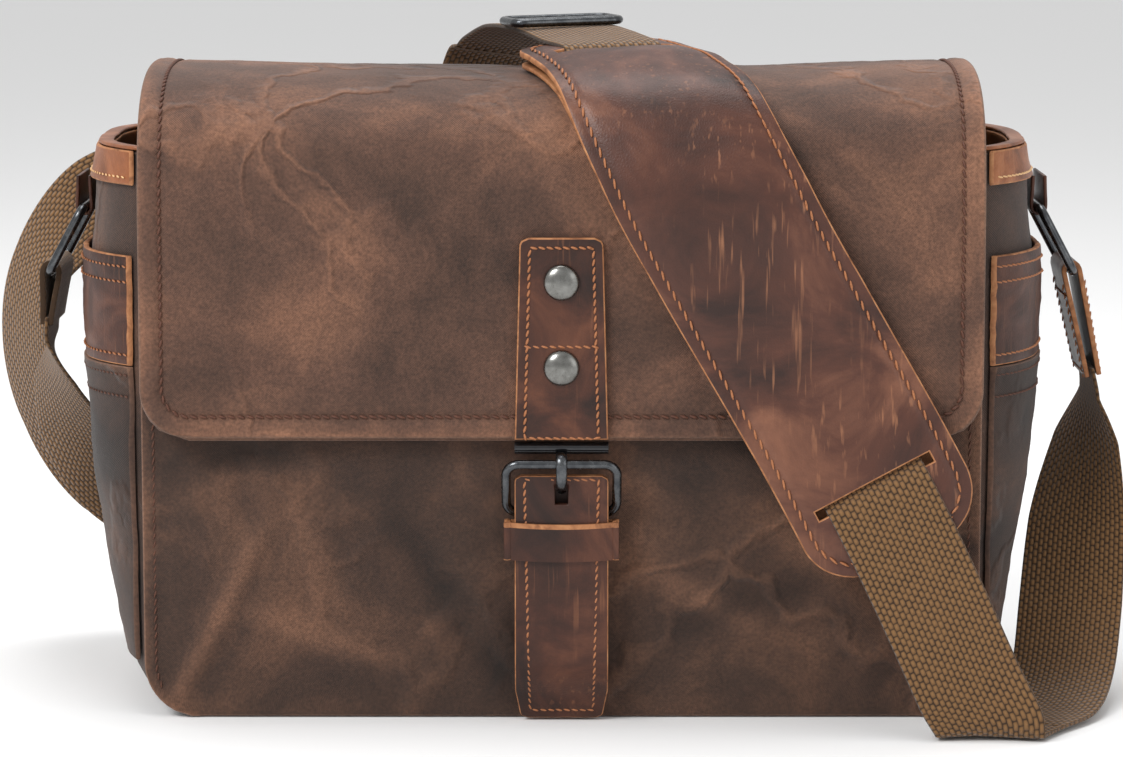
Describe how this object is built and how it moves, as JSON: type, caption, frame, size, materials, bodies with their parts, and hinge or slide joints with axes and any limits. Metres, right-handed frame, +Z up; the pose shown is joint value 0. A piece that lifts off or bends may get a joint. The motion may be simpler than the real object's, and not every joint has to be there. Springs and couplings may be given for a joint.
{
  "type": "camera bag",
  "caption": "Canvas camera satchel with a hinged flap, buckle closure, swinging strap rings, a padded insert with sliding dividers and a padded shoulder strap.",
  "frame": {"origin": "middle of the bag's flat base", "axes": "+X to the right seen from the front, -Y out of the front, +Z up"},
  "size_m": [0.4267, 0.2058, 0.2468],
  "materials": {
    "canvas": "waxed brown cotton canvas with rubbed lighter patches",
    "lining": "matt grey lining cloth",
    "padding": "brushed loop cloth over foam",
    "leather": "oiled dark brown leather, scuffed",
    "tan_leather": "tan binding leather",
    "webbing": "heavy khaki cotton webbing",
    "gunmetal": "polished gunmetal plating",
    "nickel": "satin antique nickel",
    "black_metal": "gloss black"
  },
  "bodies": {
    "root": {"base_panel": "canvas", "front_panel": "canvas", "back_panel": "canvas", "gusset_left": "canvas", "gusset_right": "canvas", "pocket_left": "canvas", "pocket_right": "canvas", "base_board": "lining", "insert_base": "padding", "insert_front": "padding", "insert_back": "padding", "insert_left": "padding", "insert_right": "padding", "pocket_band_left": "leather", "pocket_band_right": "leather", "closure_strap_lower": "leather", "buckle_chape": "leather", "ring_tab_left": "leather", "ring_tab_right": "leather", "rim_binding_front": "tan_leather", "rim_binding_left": "tan_leather", "rim_binding_right": "tan_leather", "webbing_side_right": "webbing", "webbing_back": "webbing", "webbing_left_outer": "webbing", "webbing_left_inner": "webbing", "snap_socket": "nickel"},
    "flap": {"flap_canvas": "canvas", "flap_lining": "lining", "closure_strap_upper": "leather", "rivet_upper": "nickel", "rivet_lower": "nickel", "hook_bar": "black_metal", "snap_stud": "nickel"},
    "strap": {"pad_leather": "leather", "pad_backing": "lining", "webbing_front": "webbing", "webbing_core": "webbing", "webbing_top": "webbing", "slider_frame": "gunmetal"},
    "buckle": {"buckle_frame": "gunmetal"},
    "prong": {"buckle_prong": "gunmetal"},
    "keeper": {"keeper_loop": "leather"},
    "ring_left": {"ring_left": "gunmetal", "webbing_loop_left": "webbing"},
    "ring_right": {"ring_right": "gunmetal", "end_tab_right": "leather"},
    "divider_left": {"divider_left": "padding"},
    "divider_right": {"divider_right": "padding"}
  },
  "joints": [
    {"name": "flap_hinge", "type": "hinge", "parent": "root", "child": "flap", "pos_m": [0, 0.068, 0.203], "axis": [-1, 0, 0], "range_deg": [0, 110]},
    {"name": "strap_swing", "type": "hinge", "parent": "root", "child": "strap", "pos_m": [0, 0.068, 0.203], "axis": [-1, 0, 0], "range_deg": [0, 110]},
    {"name": "buckle_tilt", "type": "hinge", "parent": "root", "child": "buckle", "pos_m": [0, -0.07615, 0.0762], "axis": [1, 0, 0], "range_deg": [0, 35]},
    {"name": "prong_swing", "type": "hinge", "parent": "buckle", "child": "prong", "pos_m": [0, -0.0838, 0.0945], "axis": [-1, 0, 0], "range_deg": [0, 90]},
    {"name": "keeper_slide", "type": "slide", "parent": "root", "child": "keeper", "axis": [0, 0, 1], "range_m": [-0.03, 0]},
    {"name": "ring_left_swing", "type": "hinge", "parent": "root", "child": "ring_left", "pos_m": [-0.1751, 0.011, 0.1775], "axis": [0, 1, 0], "range_deg": [-3, 40]},
    {"name": "ring_right_swing", "type": "hinge", "parent": "root", "child": "ring_right", "pos_m": [0.1751, 0.011, 0.1775], "axis": [0, -1, 0], "range_deg": [-3, 40]},
    {"name": "divider_left_slide", "type": "slide", "parent": "root", "child": "divider_left", "axis": [1, 0, 0], "range_m": [-0.025, 0.025]},
    {"name": "divider_right_slide", "type": "slide", "parent": "root", "child": "divider_right", "axis": [1, 0, 0], "range_m": [-0.025, 0.025]}
  ],
  "couplings": [
    {"joint": "strap_swing", "follows": "flap_hinge", "ratio": 1}
  ]
}
